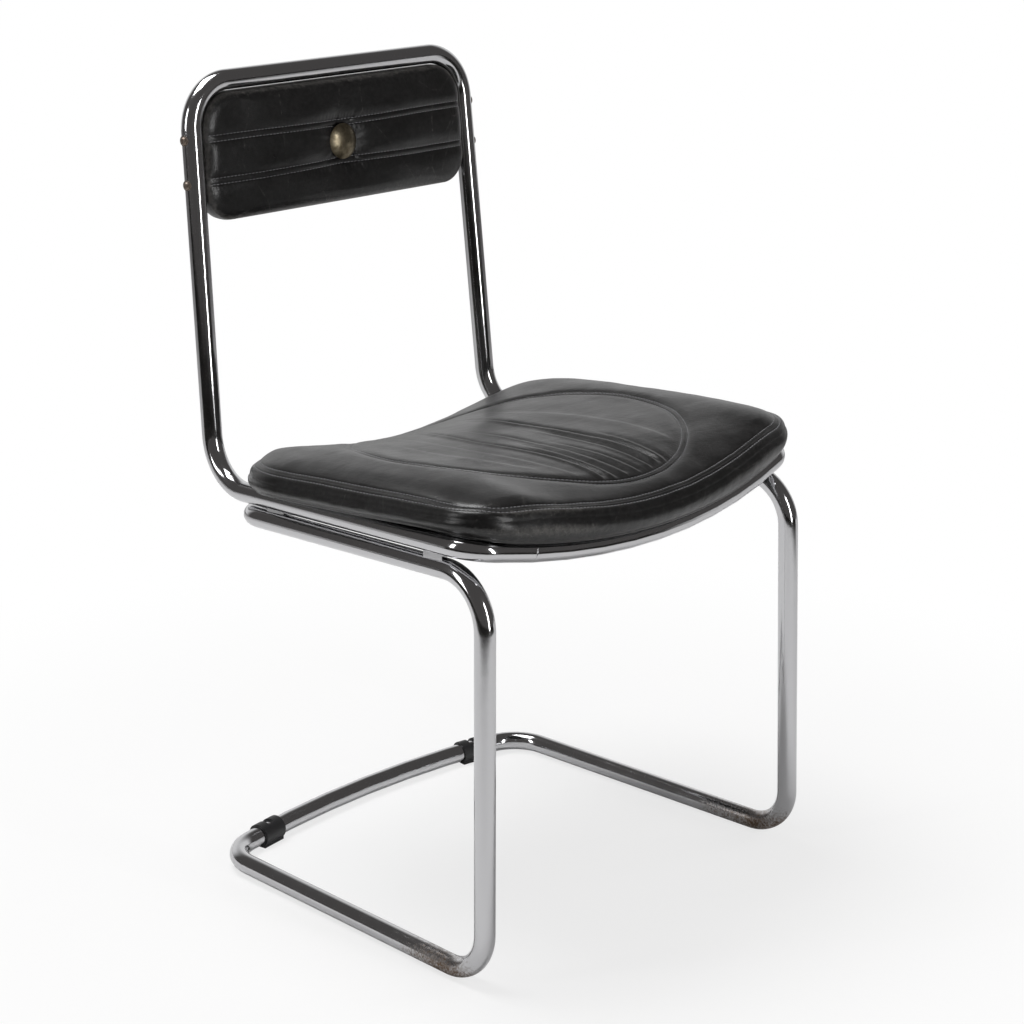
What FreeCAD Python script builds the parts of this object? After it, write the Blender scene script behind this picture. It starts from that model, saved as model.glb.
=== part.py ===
# Cantilever dining chair: two looped tubes, a padded saddle seat and a padded back.
# Millimetres, +Z up, the front of the chair faces -Y, the floor is at z = 0.
import FreeCAD, Part
import math
import os

V = FreeCAD.Vector
os.makedirs("parts", exist_ok=True)

# Tubes
TUBE_R = 10.0
TUBE_WALL = 1.5
BORE_R = TUBE_R - TUBE_WALL
REST = 0.2                     # air between a curved rest and the tube
KERF = 0.4                     # slit of a butt joint
PLUG_GAP = 0.1                 # plug inside the bore
PLUG_LONG = 60.0
SOLE = 2.0                     # floor glides under the rear bar lift it by this much
PAST = 2.0                     # cutters run this far past a face

# Seat and back frame, centre lines
BEND = V(195.3, 404.4, 399.7)          # rail meets upright
FRONT = V(225.0, 18.6, 424.2)          # rail meets front bar
FRONT_APEX = V(0, -25.4, 375.1)        # end tangents of the front bar meet here
HOOP_TOP = V(183.9, 436.9, 792.5)
BEND_R, FRONT_R, FRONT_BOW_R, HOOP_R = 52.0, 28.0, 710.0, 47.0
FRONT_JOINT_X = -165.0

# Base frame, centre lines
FOOT = V(228.6, 0, TUBE_R)
FOOT_REAR = V(217.9, 380.9, TUBE_R + SOLE)
FOOT_APEX = V(0, 419.9, TUBE_R + SOLE)
KNEE = V(219.3, 6.8, 399.3)
UNDER = V(203.5, 358.0, 382.4)
UNDER_APEX = V(0, 358.0, 354.4)        # the cross bar sags clear of the seat
FOOT_R, FOOT_REAR_R, FOOT_BOW_R, KNEE_R, UNDER_R = 45.0, 45.0, 1000.0, 50.0, 36.0
UNDER_BOW_R = 1090.0

# Seat, measured from the plane of the two seat rails
SEAT_FRONT = V(0, -41.0, 0)            # end tangents of the bowed front edge meet here
SEAT_CORNER = V(230.0, 2.0, 0)
SEAT_REAR = V(235.0, 370.5, 0)
SEAT_BOW_R, SEAT_CORNER_R, SEAT_REAR_R = 950.0, 50.0, 104.0
REACH = max(SEAT_CORNER.x, SEAT_REAR.x) + 10.0         # profiles run past the outline
CUT_DEPTH, CUT_HEIGHT = 95.0, 220.0                    # cutters run past the seat above and below
HEM = (222.0, 8.4, -19.0)              # saddle: half width, level at the sides, level in the middle
PAN = (222.0, 11.5, -17.6)
RIM = (220.0, 30.0, 3.5)               # the top falls away to this level
PAN_THICK, PAN_INSET = 9.0, 6.0
LEATHER = 1.8
RIM_R, SEAM_INSET, SEAM_GAP = 6.5, 7.2, 0.8
ROUND_SEAM_Y, ROUND_SEAM_R = 174.0, 166.0
CREASES = ((12.0, -6.0, -26.0), (66.0, 64.0, 40.0))    # x at the rear, the middle and the front
CREASE_Y = (316.0, 166.0, 36.0)
CREASE_W, CREASE_D = 2.4, 1.2

# The cushion's top: a wide valley that falls away to the rim's saddle near the outline
TOP_MID_Y, VALLEY, VALLEY_R, CROWN_R = 182.0, 39.5, 943.0, 7140.0
FALL_HALF, FALL_LONG = 252.0, 212.5    # the fall reaches its foot here, across and along
FALL_POWER = (4.0, 4.5)
TOP_GRID = 17
CLOTH_INSET, CLOTH = 34.0, 0.8

# Fixing of the seat
TAB_Y = (96.0, 286.0)
TAB_LONG, TAB_WIDE, TAB_THICK = 30.0, 24.0, 3.0
TAB_SCREW_IN = 23.0                    # screw inboard of the rail
TAB_NOTCH = 1.0                        # cloth stays this far from a tab
SCREW_R, HEAD_R, HEAD_H = 2.5, 5.0, 2.8
CLEAR = 0.3
NUT_R, NUT_FLANGE_R, NUT_FLANGE, NUT_AIR = 3.8, 8.5, 1.5, 0.5
WELD_Y = (70.0, 300.0)
WELD_LONG, WELD_WIDE = 24.0, 7.0

# Back pad, measured up the plane of the uprights from their bend
PAD_SIDE_GAP = 0.5                     # air between the pad and the uprights
PAD_LOW, PAD_TOP = 258.6, 383.0
PAD_DEEP, PAD_WIDE = 160.0, 500.0      # cutters run past the pad
PAD_LOW_R, PAD_TOP_R = 30.0, 36.0
PAD_REAR, PAD_FRONT = 11.0, 19.0
PAD_CROWN_ROUND, PAD_CROWN_UP = 1900.0, 420.0
PAD_RIM_R, PAD_REAR_RIM_R = 11.0, 4.0
BOARD_THICK, BOARD_INSET = 9.0, 4.0
PAD_SEAMS = (298.1, 338.6)
PAD_GROOVE_W, PAD_GROOVE_D = 3.0, 2.4
TUFT_S, TUFT_R, TUFT_FLOOR_R, TUFT_DEEP = 319.1, 40.0, 18.6, 9.0
BUTTON_R, BUTTON_RISE, BUTTON_RIM, BUTTON_LIP, BUTTON_STEP = 18.0, 5.5, 1.6, 0.6, 1.5
SHANK_R, SHANK_IN, SHANK_PAST = 2.5, 1.0, 1.5
WASHER_R, WASHER, NUT_ACROSS, NUT_H = 9.0, 1.2, 8.0, 4.0
PAD_SCREW_S = (297.6, 340.6)
PAD_SCREW_R, PAD_HEAD, PAD_HEAD_R, PAD_HEAD_TOP_R = 2.0, 1.6, 4.0, 2.8
CUP_R, CUP_WALL, CUP_DEEP = 5.0, 1.0, 6.0
INSERT_R, INSERT_LONG, INSERT_SINK = 3.4, 13.0, 2.0

# Floor glides
GLIDE_X, GLIDE_LONG, GLIDE_WALL = 152.0, 30.0, 2.4
SOLE_WIDE, SOLE_HIGH = 18.0, 8.0
WINDOW, WINDOW_LOW = 9.0, 6.0


def mirror_x(p):
    return V(-p.x, p.y, p.z)


def unit(v):
    return V(v).normalize()


# Straight lines with an arc of the given radius at each corner, as edges end to end
def rounded(corners, radii, closed=True):
    n = len(corners)
    cuts = []
    for i, (p, r) in enumerate(zip(corners, radii)):
        if r == 0:
            cuts.append((p, None, p))
            continue
        a = unit(corners[i - 1] - p)
        b = unit(corners[(i + 1) % n] - p)
        half = a.getAngle(b) / 2
        reach = r / math.tan(half)
        inner = unit(a + b)
        middle = p + inner * (r / math.sin(half) - r)
        cuts.append((p + a * reach, middle, p + b * reach))
    edges = []
    for i, (start, middle, end) in enumerate(cuts):
        if middle is not None:
            edges.append(Part.Arc(start, middle, end).toShape())
        if closed or i < n - 1:
            nxt = cuts[(i + 1) % n][0]
            if (nxt - end).Length > 1e-6:
                edges.append(Part.LineSegment(end, nxt).toShape())
    return edges


def disc(centre, normal, r):
    return Part.Face(Part.Wire(Part.Circle(centre, normal, r).toShape()))


# A round bar along a run of edges, each piece a true cylinder or torus
def bar(edges, r):
    solids = []
    for e in edges:
        start = e.valueAt(e.FirstParameter)
        face = disc(start, e.tangentAt(e.FirstParameter), r)
        if isinstance(e.Curve, Part.Circle):
            turn = math.degrees(e.LastParameter - e.FirstParameter)
            solids.append(face.revolve(e.Curve.Center, e.Curve.Axis, turn))
        else:
            solids.append(face.extrude(e.valueAt(e.LastParameter) - start))
    return solids[0].multiFuse(solids[1:]).removeSplitter()


def both_sides(points):
    return points + [mirror_x(p) for p in reversed(points)]


def rod(start, end, r):
    return Part.makeCylinder(r, (end - start).Length, start, end - start)


def group(shapes):
    return Part.makeCompound(shapes)


# Frame loops
seat_path = rounded(
    [FRONT_APEX, FRONT, BEND, HOOP_TOP] + [mirror_x(p) for p in (HOOP_TOP, BEND, FRONT)],
    [FRONT_BOW_R, FRONT_R, BEND_R, HOOP_R, HOOP_R, BEND_R, FRONT_R])
base_path = rounded(
    [FOOT_APEX, FOOT_REAR, FOOT, KNEE, UNDER, UNDER_APEX]
    + [mirror_x(p) for p in (UNDER, KNEE, FOOT, FOOT_REAR)],
    [FOOT_BOW_R, FOOT_REAR_R, FOOT_R, KNEE_R, UNDER_R, UNDER_BOW_R,
     UNDER_R, KNEE_R, FOOT_R, FOOT_REAR_R])
seat_bar = bar(seat_path, TUBE_R)
base_bar = bar(base_path, TUBE_R)
seat_tube = seat_bar.cut(bar(seat_path, BORE_R))
base_tube = base_bar.cut(bar(base_path, BORE_R))
seat_air = bar(seat_path, TUBE_R + REST)


# Place on a path where one coordinate reaches a value, as a point and a direction
def crossing(path, axis, value, near):
    best = None
    for e in path:
        a, b = e.FirstParameter, e.LastParameter
        if (e.valueAt(a)[axis] - value) * (e.valueAt(b)[axis] - value) > 0:
            continue
        for _ in range(50):
            m = (a + b) / 2
            if (e.valueAt(a)[axis] - value) * (e.valueAt(m)[axis] - value) > 0:
                a = m
            else:
                b = m
        p = e.valueAt(a)
        if best is None or (p - near).Length < (best[0] - near).Length:
            best = (p, unit(e.tangentAt(a)))
    return best


# Butt joints with a plug inside
def joint(tube, path, x, near):
    p, d = crossing(path, 0, x, near)
    slit = rod(p - d * (KERF / 2), p + d * (KERF / 2), TUBE_R + PAST)
    half = V(PLUG_LONG / 2, PLUG_LONG, PLUG_LONG)
    block = Part.makeBox(2 * half.x, 2 * half.y, 2 * half.z, p - half)
    plug = bar([e for e in path if e.distToShape(Part.Vertex(p))[0] < PLUG_LONG], BORE_R - PLUG_GAP)
    return tube.cut(slit), plug.common(block)


seat_tube, seat_plug = joint(seat_tube, seat_path, FRONT_JOINT_X, mirror_x(FRONT))
base_tube, base_plug = joint(base_tube, base_path, 0.0, V(0, UNDER.y, UNDER.z))


SLOPE = math.degrees(math.atan2(FRONT.z - BEND.z, BEND.y - FRONT.y))


# Seat space: x, y as the chair, w up from the plane of the rails
def to_seat(shape):
    out = shape.copy()
    out.translate(V(0, 0, BEND.z))
    out.rotate(V(0, BEND.y, BEND.z), V(1, 0, 0), -SLOPE)
    return out


def seat_outline(inset):
    corners = [SEAT_FRONT, SEAT_CORNER, SEAT_REAR, mirror_x(SEAT_REAR), mirror_x(SEAT_CORNER)]
    radii = [SEAT_BOW_R, SEAT_CORNER_R, SEAT_REAR_R, SEAT_REAR_R, SEAT_CORNER_R]
    wire = Part.Wire(Part.__sortEdges__(rounded(corners, radii)))
    return wire.makeOffset2D(-inset) if inset else wire


def seat_prism(inset):
    solid = Part.Face(seat_outline(inset)).extrude(V(0, 0, CUT_HEIGHT))
    solid.translate(V(0, 0, -CUT_DEPTH))
    return solid


def saddle_level(saddle, x):
    half, side, middle = saddle
    r = (half ** 2 + (side - middle) ** 2) / (2 * (side - middle))
    return middle + r - math.sqrt(r * r - x * x), r


# Everything under a saddle surface
def under_saddle(saddle, lift=0.0):
    edge = saddle_level(saddle, REACH)[0] + lift
    y = SEAT_FRONT.y - REACH
    a, b = V(-REACH, y, edge), V(REACH, y, edge)
    top = Part.Arc(a, V(0, y, saddle[2] + lift), b).toShape()
    c, d = V(REACH, y, -CUT_DEPTH), V(-REACH, y, -CUT_DEPTH)
    loop = Part.Wire([top, Part.LineSegment(b, c).toShape(),
                      Part.LineSegment(c, d).toShape(), Part.LineSegment(d, a).toShape()])
    return Part.Face(loop).extrude(V(0, SEAT_REAR.y - y + REACH, 0))


# Level of the cushion's top at x, y
def top_level(x, y):
    foot = saddle_level(RIM, x)[0]
    dy = y - TOP_MID_Y
    full = VALLEY + x * x / (2 * VALLEY_R) - dy * dy / (2 * CROWN_R)
    across = 1 - abs(x / FALL_HALF) ** FALL_POWER[0]
    along = 1 - abs(dy / FALL_LONG) ** FALL_POWER[1]
    return foot + (full - foot) * across * along


# Everything under the cushion's top
def under_top(drop):
    xs = [REACH * (2 * i / (TOP_GRID - 1) - 1) for i in range(TOP_GRID)]
    low, high = SEAT_FRONT.y, SEAT_REAR.y + 10.0
    ys = [low + (high - low) * j / (TOP_GRID - 1) for j in range(TOP_GRID)]
    surface = Part.BSplineSurface()
    surface.interpolate([[V(x, y, top_level(x, y) - drop) for y in ys] for x in xs])
    return surface.toShape().extrude(V(0, 0, -2 * CUT_DEPTH))


# Edges between a wall and a cap that faces the given way
def rim(solid, way, up=V(0, 0, 1)):
    found = []
    for e in solid.Edges:
        mid = e.valueAt((e.FirstParameter + e.LastParameter) / 2)
        wall = cap = False
        for f in solid.ancestorsOfType(e, Part.Face):
            lean = f.normalAt(*f.Surface.parameter(mid)).dot(up) * way
            wall = wall or abs(lean) < 0.03
            cap = cap or lean > 0.2
        if wall and cap:
            found.append(e)
    return found


def seat_body(inset):
    body = seat_prism(inset).common(under_top(inset))
    return body.makeFillet(RIM_R - inset, rim(body, 1))


# A groove of even depth wherever the cutter passes over the face
def scored(solid, cutter, depth, way=V(0, 0, -1)):
    sunk = solid.copy()
    sunk.translate(way * depth)
    return solid.cut(solid.cut(sunk).common(cutter))


# A curved slot that stands over the top, for one crease
def crease_cutter(xs):
    half = V(CREASE_W / 2, 0, 0)
    a = [V(x, y, 0) - half for x, y in zip(xs, CREASE_Y)]
    b = [V(x, y, 0) + half for x, y in zip(xs, CREASE_Y)]
    loop = Part.Wire([Part.Arc(*a).toShape(), Part.LineSegment(a[2], b[2]).toShape(),
                      Part.Arc(*reversed(b)).toShape(), Part.LineSegment(b[0], a[0]).toShape()])
    return Part.Face(loop).extrude(V(0, 0, CUT_DEPTH))


parts = {}
whole = seat_body(0)
core = seat_body(LEATHER)
leather = whole.cut(core).cut(under_saddle(HEM))
boxing = leather.cut(seat_prism(SEAM_INSET))
top = leather.common(seat_prism(SEAM_INSET + SEAM_GAP))
round_at = V(0, ROUND_SEAM_Y, -CUT_DEPTH)
panel = top.common(Part.makeCylinder(ROUND_SEAM_R, CUT_HEIGHT, round_at))
border = top.cut(Part.makeCylinder(ROUND_SEAM_R + SEAM_GAP, CUT_HEIGHT, round_at))
for xs in CREASES:
    panel = scored(panel, crease_cutter(xs), CREASE_D)
pan = seat_prism(PAN_INSET).cut(under_saddle(PAN)).common(under_saddle(PAN, PAN_THICK))
foam = core.cut(under_saddle(HEM)).cut(under_saddle(PAN, PAN_THICK).common(seat_prism(PAN_INSET)))
foam = foam.cut(seat_prism(CLOTH_INSET).common(under_saddle(PAN)))
cloth = seat_prism(CLOTH_INSET).common(under_saddle(PAN)).cut(under_saddle(PAN, -CLOTH))


# Fixing of the seat: tabs on the inner side of each rail, a screw and a flanged nut in the pan
def rail_x(y):
    return FRONT.x + (BEND.x - FRONT.x) * (y - FRONT.y) / (BEND.y - FRONT.y)


# A tab's outline as an upright block, from inside the rail to its free end
def tab_block(side, x, y, margin):
    long, wide = TAB_LONG + PAST + 2 * margin, TAB_WIDE + 2 * margin
    middle = side * (x - PAST - (TAB_LONG + PAST) / 2)
    return Part.makeBox(long, wide, CUT_DEPTH, V(middle - long / 2, y - wide / 2, -CUT_DEPTH / 2))


tabs, notches, screws, nuts, bores, wells = [], [], [], [], [], []
for side in (1, -1):
    for y in TAB_Y:
        x = rail_x(y)
        tabs.append(tab_block(side, x, y, 0).common(under_saddle(PAN)).cut(
            under_saddle(PAN, -TAB_THICK)))
        notches.append(tab_block(side, x, y, TAB_NOTCH))
        at = side * (x - TAB_SCREW_IN)
        level, r = saddle_level(PAN, at)
        up = unit(V(-at, 0, PAN[2] + r - level))
        seat = V(at, y, level)
        nut_top = seat + up * (PAN_THICK + NUT_FLANGE / 2)
        under_tab = seat - up * TAB_THICK
        screws.append(rod(under_tab - up * HEAD_H, under_tab, HEAD_R).fuse(
            rod(under_tab, nut_top, SCREW_R)))
        nut = rod(seat + up * CLEAR, nut_top, NUT_R).fuse(
            rod(nut_top - up * NUT_FLANGE, nut_top, NUT_FLANGE_R))
        nuts.append(nut.cut(rod(under_tab, nut_top + up, SCREW_R)))
        wells.append(rod(seat - up * PAST, nut_top, NUT_R).fuse(
            rod(nut_top - up * NUT_FLANGE, nut_top + up * NUT_AIR, NUT_FLANGE_R)))
        bores.append(rod(under_tab - up, seat + up, SCREW_R + CLEAR))
tabs = [t.cut(group(bores)) for t in tabs]
pan = pan.cut(group(wells))
foam = foam.cut(group(wells))
cloth = cloth.cut(group(notches))


# Short fillers weld the two loops together where the rails run one above the other
welds = []
for side in (1, -1):
    for y in WELD_Y:
        upper = crossing(seat_path, 1, y, V(side * rail_x(y), y, FRONT.z))[0]
        lower = crossing(base_path, 1, y, V(side * rail_x(y), y, KNEE.z))[0]
        mid = (upper + lower) * 0.5
        high = (upper - lower).Length
        block = Part.makeBox(WELD_WIDE, WELD_LONG, high)
        block.translate(V(mid.x - WELD_WIDE / 2, mid.y - WELD_LONG / 2, mid.z - high / 2))
        welds.append(block.cut(seat_bar).cut(base_bar))

parts["seat_back_frame"] = seat_tube
parts["base_frame"] = base_tube
parts["seat_frame_plug"] = seat_plug
parts["base_frame_plug"] = base_plug
parts["rail_welds"] = group(welds)
parts["seat_tabs"] = group([to_seat(t).cut(seat_bar) for t in tabs])
parts["seat_screws"] = to_seat(group(screws))
parts["seat_nuts"] = to_seat(group(nuts))
for name, shape in (("seat_pan", pan), ("seat_foam", foam), ("seat_boxing", boxing),
                    ("seat_top_border", border), ("seat_round_panel", panel),
                    ("seat_under_cloth", cloth)):
    parts[name] = to_seat(shape).cut(seat_air)


# Back space: x as the chair, z up the uprights from their bend, -y out of the front
def to_back(shape):
    out = shape.copy()
    lean = math.degrees(math.atan2(HOOP_TOP.y - BEND.y, HOOP_TOP.z - BEND.z))
    out.rotate(V(0, 0, 0), V(1, 0, 0), -lean)
    out.translate(V(0, BEND.y, BEND.z))
    return out


def upright_x(s):
    return BEND.x + (HOOP_TOP.x - BEND.x) * s / (HOOP_TOP - BEND).Length


def pad_half(s):
    return upright_x(s) - TUBE_R - PAD_SIDE_GAP


def pad_prism(inset):
    y = PAD_DEEP / 2
    corners = [V(pad_half(PAD_LOW), y, PAD_LOW), V(pad_half(PAD_TOP), y, PAD_TOP)]
    wire = Part.Wire(Part.__sortEdges__(rounded(
        both_sides(corners), [PAD_LOW_R, PAD_TOP_R, PAD_TOP_R, PAD_LOW_R])))
    if inset:
        wire = wire.makeOffset2D(-inset)
    return Part.Face(wire).extrude(V(0, -PAD_DEEP, 0))


def pad_block(y_front, y_rear):
    high = 2 * (PAD_TOP - PAD_LOW)
    return Part.makeBox(PAD_WIDE, y_rear - y_front, high,
                        V(-PAD_WIDE / 2, y_front, (PAD_LOW + PAD_TOP - high) / 2))


# The crowned front of the pad: an arc across, carried round a larger wheel up the pad
def pad_crown(drop):
    half, z, rear = BEND.x, (PAD_LOW + PAD_TOP) / 2, PAD_DEEP / 2
    fall = PAD_CROWN_ROUND - math.sqrt(PAD_CROWN_ROUND ** 2 - half ** 2)
    front = -PAD_FRONT + drop
    a, b = V(-half, front + fall, z), V(half, front + fall, z)
    c, d = V(half, rear, z), V(-half, rear, z)
    loop = Part.Wire([Part.Arc(a, V(0, front, z), b).toShape(), Part.LineSegment(b, c).toShape(),
                      Part.LineSegment(c, d).toShape(), Part.LineSegment(d, a).toShape()])
    face = Part.Face(loop)
    hub = V(0, front + PAD_CROWN_UP, z)
    swing = math.degrees(math.atan2(PAD_TOP - PAD_LOW, PAD_CROWN_UP - rear)) * 0.7
    face.rotate(hub, V(1, 0, 0), -swing)
    return face.revolve(hub, V(1, 0, 0), 2 * swing)


def pad_body(inset):
    body = pad_prism(inset).common(pad_crown(inset)).common(pad_block(-PAD_DEEP / 2, PAD_REAR))
    body = body.makeFillet(PAD_RIM_R - inset, rim(body, 1, V(0, -1, 0)))
    for s in PAD_SEAMS:
        slot = Part.makeBox(PAD_WIDE, PAD_DEEP / 2, PAD_GROOVE_W,
                            V(-PAD_WIDE / 2, -PAD_DEEP / 2, s - PAD_GROOVE_W / 2))
        body = scored(body, slot, PAD_GROOVE_D, V(0, 1, 0))
    floor = -PAD_FRONT + TUFT_DEEP + inset
    tuft = Part.makeCone(TUFT_FLOOR_R, TUFT_R, TUFT_DEEP + PAST, V(0, floor, TUFT_S), V(0, -1, 0))
    return body.cut(tuft)


pad_whole = pad_body(0)
pad_core = pad_body(LEATHER)
rear_skin = pad_prism(0).common(pad_block(PAD_REAR - LEATHER, PAD_REAR))
rear_skin = rear_skin.makeFillet(LEATHER * 0.8, rim(rear_skin, 1, V(0, 1, 0)))
pad_front = pad_whole.cut(pad_core).cut(pad_block(PAD_REAR - LEATHER, PAD_DEEP / 2))
board = pad_prism(BOARD_INSET).common(pad_block(-BOARD_THICK / 2, BOARD_THICK / 2))
pad_foam = pad_core.cut(board).cut(pad_block(PAD_REAR - LEATHER, PAD_DEEP / 2))
slices = []
levels = (PAD_LOW - PAST,) + PAD_SEAMS + (PAD_TOP + PAST,)
for low, high in zip(levels, levels[1:]):
    box = Part.makeBox(PAD_WIDE, PAD_DEEP, high - low - SEAM_GAP,
                       V(-PAD_WIDE / 2, -PAD_DEEP / 2, low + SEAM_GAP / 2))
    slices.append(pad_front.common(box))

# Button, its shank through the pad, a washer and a nut behind
tuft_floor = -PAD_FRONT + TUFT_DEEP
shank_end = PAD_REAR + WASHER + NUT_H + SHANK_PAST
dome_back = tuft_floor - BUTTON_RIM
dome_r = (BUTTON_R ** 2 + BUTTON_RISE ** 2) / (2 * BUTTON_RISE)


def along_y(y_a, y_b, r):
    return rod(V(0, y_a, TUFT_S), V(0, y_b, TUFT_S), r)


shank = along_y(dome_back - SHANK_IN, shank_end, SHANK_R)
dome = Part.makeSphere(dome_r, V(0, dome_back - BUTTON_RISE + dome_r, TUFT_S))
dome = dome.common(along_y(dome_back - 2 * BUTTON_RISE, dome_back, BUTTON_R))
lip = along_y(dome_back, dome_back + BUTTON_LIP, BUTTON_R)
button = dome.fuse(lip).fuse(along_y(dome_back, tuft_floor, BUTTON_R - BUTTON_STEP))
button = button.removeSplitter().cut(shank)
washer = along_y(PAD_REAR, PAD_REAR + WASHER, WASHER_R).cut(shank)
hexagon = Part.Face(Part.makePolygon(
    [V(math.cos(math.radians(60 * i)) * NUT_ACROSS / math.sqrt(3), PAD_REAR + WASHER,
       TUFT_S + math.sin(math.radians(60 * i)) * NUT_ACROSS / math.sqrt(3)) for i in range(7)]))
shank_nut = hexagon.extrude(V(0, NUT_H, 0)).cut(shank)
button_hole = along_y(-PAD_DEEP / 2, PAD_DEEP / 2, SHANK_R)

# Screws through the uprights into threaded inserts in the ends of the board
pad_screws, cups, inserts, insert_wells, tube_holes = [], [], [], [], []
for side in (1, -1):
    for s in PAD_SCREW_S:
        outer, into = upright_x(s) + TUBE_R, pad_half(s) - BOARD_INSET - INSERT_SINK
        ends = [V(side * x, 0, s) for x in (outer + CUP_WALL, into - INSERT_LONG)]
        inward = unit(ends[1] - ends[0])
        head = Part.makeCone(PAD_HEAD_R, PAD_HEAD_TOP_R, PAD_HEAD, ends[0], -inward)
        pad_screws.append(head.fuse(rod(ends[0], ends[1], PAD_SCREW_R)))
        cup = rod(ends[0] + inward * CUP_DEEP, ends[0], CUP_R)
        cups.append(cup.cut(rod(ends[0] + inward * (CUP_DEEP + PAST), ends[0] - inward * PAST,
                                PAD_SCREW_R + CLEAR)))
        insert = rod(V(side * into, 0, s), ends[1], INSERT_R)
        inserts.append(insert.cut(rod(ends[0], ends[1] + inward, PAD_SCREW_R)))
        insert_wells.append(rod(V(side * (outer + PAST), 0, s), ends[1], INSERT_R))
        tube_holes.append(rod(ends[0] - inward * PAST, V(side * into, 0, s), PAD_SCREW_R + CLEAR))
board = board.cut(group(insert_wells)).cut(button_hole)
pad_foam = pad_foam.cut(group(insert_wells)).cut(button_hole)
slices = [p.cut(group(tube_holes)).cut(button_hole) for p in slices]
rear_skin = rear_skin.cut(button_hole)
parts["seat_back_frame"] = parts["seat_back_frame"].cut(to_back(group(tube_holes)))
for name, shape in (("back_board", board), ("back_foam", pad_foam), ("back_rear_cover", rear_skin),
                    ("back_panel_low", slices[0]), ("back_panel_middle", slices[1]),
                    ("back_panel_top", slices[2])):
    parts[name] = to_back(shape).cut(seat_air)
parts["back_button"] = to_back(button)
parts["button_shank"] = to_back(shank)
parts["button_washer"] = to_back(washer)
parts["button_nut"] = to_back(shank_nut)
parts["back_screws"] = to_back(group(pad_screws))
parts["back_screw_cups"] = to_back(group(cups)).cut(seat_bar)
parts["board_inserts"] = to_back(group(inserts))

# Glides: a sleeve with a flat sole and a window, clipped round the rear floor bar
glides = []
floor = Part.makeBox(3 * GLIDE_LONG, 3 * GLIDE_LONG, TUBE_R, V(-1.5 * GLIDE_LONG, -1.5 * GLIDE_LONG, -TUBE_R))
sole = Part.makeBox(GLIDE_LONG, SOLE_WIDE, SOLE_HIGH, V(-GLIDE_LONG / 2, -SOLE_WIDE / 2, 0))
window = Part.makeBox(WINDOW, 2 * SOLE_WIDE, 2 * TUBE_R, V(-WINDOW / 2, -WINDOW_LOW, TUBE_R + WINDOW_LOW))
for side in (1, -1):
    p, d = crossing(base_path, 0, side * GLIDE_X, V(side * GLIDE_X, FOOT_REAR.y, TUBE_R))
    half = V(GLIDE_LONG / 2, 0, 0)
    rise = V(0, 0, p.z)
    glide = rod(rise - half, rise + half, TUBE_R + GLIDE_WALL).fuse(sole).cut(floor).cut(window)
    glide.rotate(V(0, 0, 0), V(0, 0, 1), math.degrees(math.atan2(d.y, d.x)))
    glide.translate(V(p.x, p.y, 0))
    glides.append(glide.cut(base_bar))
parts["floor_glides"] = group(glides)

# The origin sits on the floor under the middle of the whole chair
front_edge = parts["seat_boxing"].optimalBoundingBox(False, False).YMin
rear_edge = parts["button_shank"].optimalBoundingBox(False, False).YMax
for name, shape in parts.items():
    out = shape.copy()
    out.translate(V(0, -(front_edge + rear_edge) / 2, 0))
    print(name, len(out.Solids), round(out.Volume), out.isValid())
    out.exportStep("parts/" + name + ".step")
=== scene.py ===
"""Looks of the cantilever dining chair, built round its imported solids.

All sizes below are millimetres in the chair's own space: +X to the right, +Z up from the floor, -Y out of
the front, y = 0 at the middle of the front legs. place() moves them to the part's frame in metres.
"""
import math

import bmesh
import bpy
import numpy as np
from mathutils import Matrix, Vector


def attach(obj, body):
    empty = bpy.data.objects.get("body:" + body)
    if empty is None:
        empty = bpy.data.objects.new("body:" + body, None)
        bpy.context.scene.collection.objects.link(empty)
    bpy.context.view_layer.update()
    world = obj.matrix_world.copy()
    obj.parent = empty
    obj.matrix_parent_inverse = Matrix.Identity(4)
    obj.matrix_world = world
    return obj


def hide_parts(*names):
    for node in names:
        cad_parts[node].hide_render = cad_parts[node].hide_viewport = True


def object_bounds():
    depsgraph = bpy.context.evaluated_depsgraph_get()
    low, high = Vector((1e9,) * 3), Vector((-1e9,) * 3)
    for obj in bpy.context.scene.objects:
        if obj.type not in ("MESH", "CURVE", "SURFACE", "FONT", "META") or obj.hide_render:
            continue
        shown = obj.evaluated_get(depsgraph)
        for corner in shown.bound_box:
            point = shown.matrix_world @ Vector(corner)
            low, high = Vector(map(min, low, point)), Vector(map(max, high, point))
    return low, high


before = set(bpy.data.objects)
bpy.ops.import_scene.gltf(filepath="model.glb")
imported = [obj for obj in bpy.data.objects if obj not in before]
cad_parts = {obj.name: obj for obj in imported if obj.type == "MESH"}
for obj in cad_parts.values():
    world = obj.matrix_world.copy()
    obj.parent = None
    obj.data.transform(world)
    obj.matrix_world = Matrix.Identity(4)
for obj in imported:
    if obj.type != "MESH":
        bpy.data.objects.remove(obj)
cad_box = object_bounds()

MM = 0.001
WELD = 2e-6                            # metres: points this close, as at a form's poles, become one
TAU = 2 * math.pi
REAR_EDGE = 448.558
MID_Y = REAR_EDGE - cad_box[1][1] / MM

# Tubes
TUBE_R = 10.0
BEND = np.array([195.3, 404.4, 399.7])
FRONT = np.array([225.0, 18.6, 424.2])
FRONT_APEX = np.array([0, -25.4, 375.1])
HOOP = np.array([183.9, 436.9, 792.5])
FOOT = np.array([228.6, 0, 10.0])
FOOT_REAR = np.array([217.9, 380.9, 12.0])
FOOT_APEX = np.array([0, 419.9, 12.0])
KNEE = np.array([219.3, 6.8, 399.3])
UNDER = np.array([203.5, 358.0, 382.4])
UNDER_APEX = np.array([0, 358.0, 354.4])
FRONT_JOINT_X = -165.0
SLOPE = math.atan2(FRONT[2] - BEND[2], BEND[1] - FRONT[1])
LEAN = math.atan2(HOOP[1] - BEND[1], HOOP[2] - BEND[2])

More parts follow.
